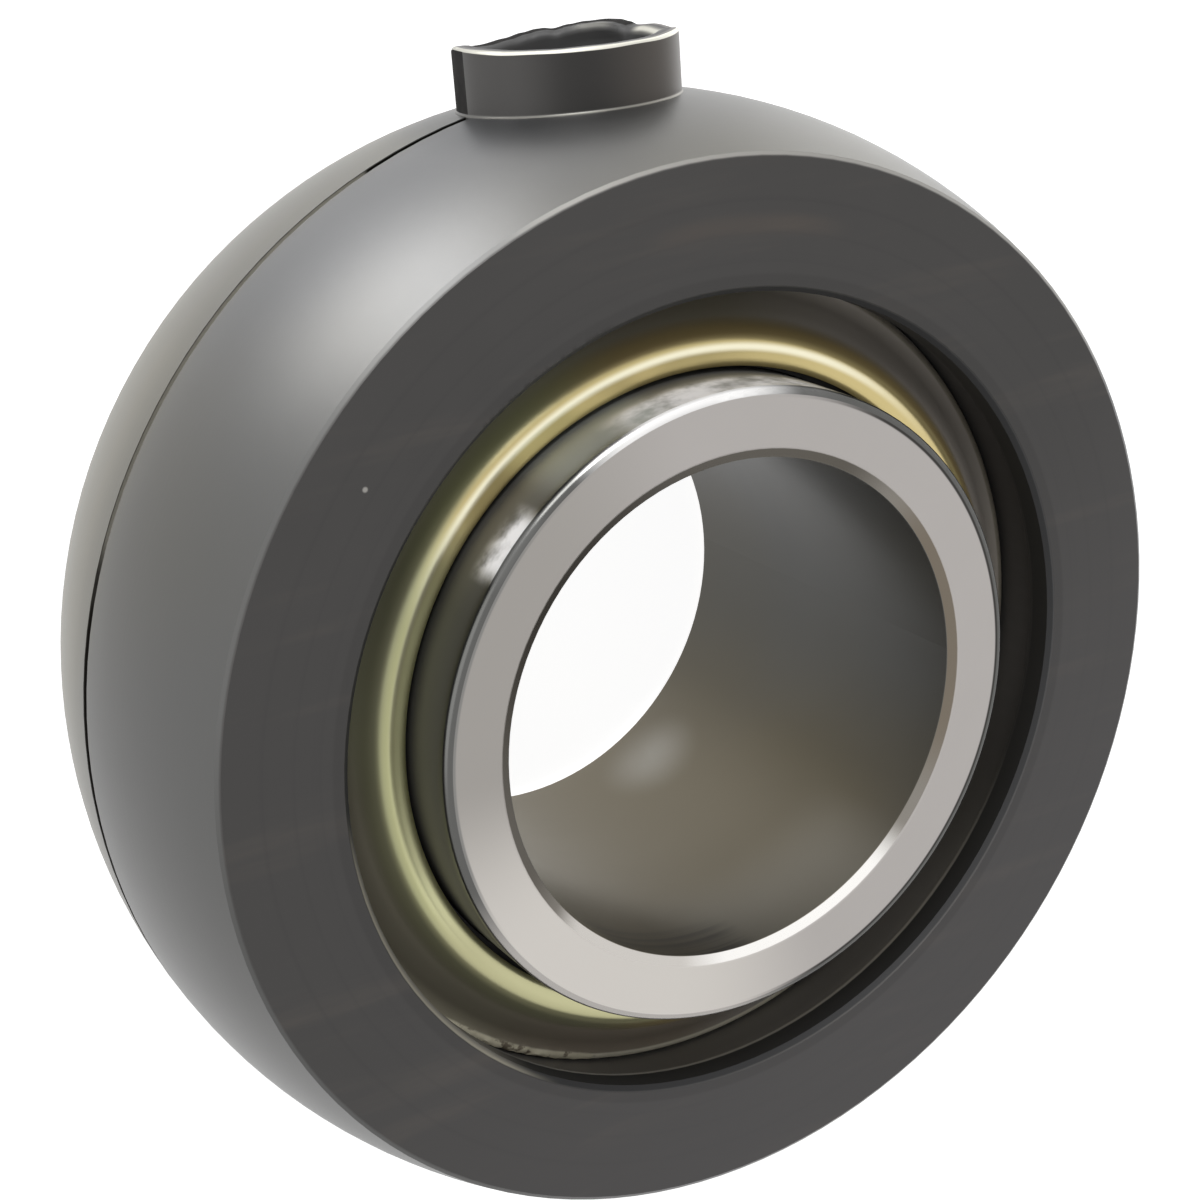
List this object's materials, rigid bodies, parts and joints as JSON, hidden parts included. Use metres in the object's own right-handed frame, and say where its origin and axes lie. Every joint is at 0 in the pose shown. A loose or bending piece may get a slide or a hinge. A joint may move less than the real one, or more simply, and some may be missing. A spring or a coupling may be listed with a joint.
{
  "type": "disc harrow bearing",
  "caption": "Sealed ball bearing with a ball-shaped outer ring, a longer plain-bore inner ring, yellow-plated seal shrouds and a hollow locating sleeve.",
  "frame": {"origin": "centre of the ball-shaped outside, on the bore axis at mid-width", "axes": "+Z along the bore towards the face seen in the picture; +Y through the locating sleeve, which stands 1.75 mm behind the middle plane"},
  "size_m": [0.1, 0.1049, 0.0408],
  "materials": {
    "outer_ring_steel": "dark satin, black-oxidised",
    "inner_ring_steel": "ground and polished",
    "ball_steel": "mirror polished",
    "cage_steel": "bright pressed strip",
    "yellow_zinc_steel": "yellow-passivated zinc plating, satin",
    "core_steel": "phosphated",
    "seal_rubber": "matte",
    "sleeve_steel": "turned, thin pale plating"
  },
  "bodies": {
    "outer": {"outer_ring": "outer_ring_steel", "locating_sleeve": "sleeve_steel", "front_seal_shroud": "yellow_zinc_steel", "front_seal_core": "core_steel", "front_seal_rubber": "seal_rubber", "rear_seal_shroud": "yellow_zinc_steel", "rear_seal_core": "core_steel", "rear_seal_rubber": "seal_rubber"},
    "inner": {"inner_ring": "inner_ring_steel"},
    "cage": {"cage_front": "cage_steel", "cage_rear": "cage_steel", "cage_rivets": "cage_steel"},
    "rolling_ball_1": {"ball_1": "ball_steel"},
    "rolling_ball_2": {"ball_2": "ball_steel"},
    "rolling_ball_3": {"ball_3": "ball_steel"},
    "rolling_ball_4": {"ball_4": "ball_steel"},
    "rolling_ball_5": {"ball_5": "ball_steel"},
    "rolling_ball_6": {"ball_6": "ball_steel"},
    "rolling_ball_7": {"ball_7": "ball_steel"},
    "rolling_ball_8": {"ball_8": "ball_steel"},
    "rolling_ball_9": {"ball_9": "ball_steel"}
  },
  "joints": [
    {"name": "inner_spin", "type": "hinge", "parent": "outer", "child": "inner", "pos_m": [0, 0, 0], "axis": [0, 0, 1], "continuous": true},
    {"name": "cage_spin", "type": "hinge", "parent": "outer", "child": "cage", "pos_m": [0, 0, 0], "axis": [0, 0, 1], "continuous": true},
    {"name": "ball_1_spin", "type": "hinge", "parent": "cage", "child": "rolling_ball_1", "pos_m": [0.032, 0, 0], "axis": [0, 0, 1], "continuous": true},
    {"name": "ball_2_spin", "type": "hinge", "parent": "cage", "child": "rolling_ball_2", "pos_m": [0.02451, 0.02057, 0], "axis": [0, 0, 1], "continuous": true},
    {"name": "ball_3_spin", "type": "hinge", "parent": "cage", "child": "rolling_ball_3", "pos_m": [0.00556, 0.03151, 0], "axis": [0, 0, 1], "continuous": true},
    {"name": "ball_4_spin", "type": "hinge", "parent": "cage", "child": "rolling_ball_4", "pos_m": [-0.016, 0.02771, 0], "axis": [0, 0, 1], "continuous": true},
    {"name": "ball_5_spin", "type": "hinge", "parent": "cage", "child": "rolling_ball_5", "pos_m": [-0.03007, 0.01094, 0], "axis": [0, 0, 1], "continuous": true},
    {"name": "ball_6_spin", "type": "hinge", "parent": "cage", "child": "rolling_ball_6", "pos_m": [-0.03007, -0.01094, 0], "axis": [0, 0, 1], "continuous": true},
    {"name": "ball_7_spin", "type": "hinge", "parent": "cage", "child": "rolling_ball_7", "pos_m": [-0.016, -0.02771, 0], "axis": [0, 0, 1], "continuous": true},
    {"name": "ball_8_spin", "type": "hinge", "parent": "cage", "child": "rolling_ball_8", "pos_m": [0.00556, -0.03151, 0], "axis": [0, 0, 1], "continuous": true},
    {"name": "ball_9_spin", "type": "hinge", "parent": "cage", "child": "rolling_ball_9", "pos_m": [0.02451, -0.02057, 0], "axis": [0, 0, 1], "continuous": true}
  ],
  "couplings": [
    {"joint": "cage_spin", "follows": "inner_spin", "ratio": 0.40078},
    {"joint": "ball_1_spin", "follows": "inner_spin", "ratio": -2.4205},
    {"joint": "ball_2_spin", "follows": "inner_spin", "ratio": -2.4205},
    {"joint": "ball_3_spin", "follows": "inner_spin", "ratio": -2.4205},
    {"joint": "ball_4_spin", "follows": "inner_spin", "ratio": -2.4205},
    {"joint": "ball_5_spin", "follows": "inner_spin", "ratio": -2.4205},
    {"joint": "ball_6_spin", "follows": "inner_spin", "ratio": -2.4205},
    {"joint": "ball_7_spin", "follows": "inner_spin", "ratio": -2.4205},
    {"joint": "ball_8_spin", "follows": "inner_spin", "ratio": -2.4205},
    {"joint": "ball_9_spin", "follows": "inner_spin", "ratio": -2.4205}
  ]
}
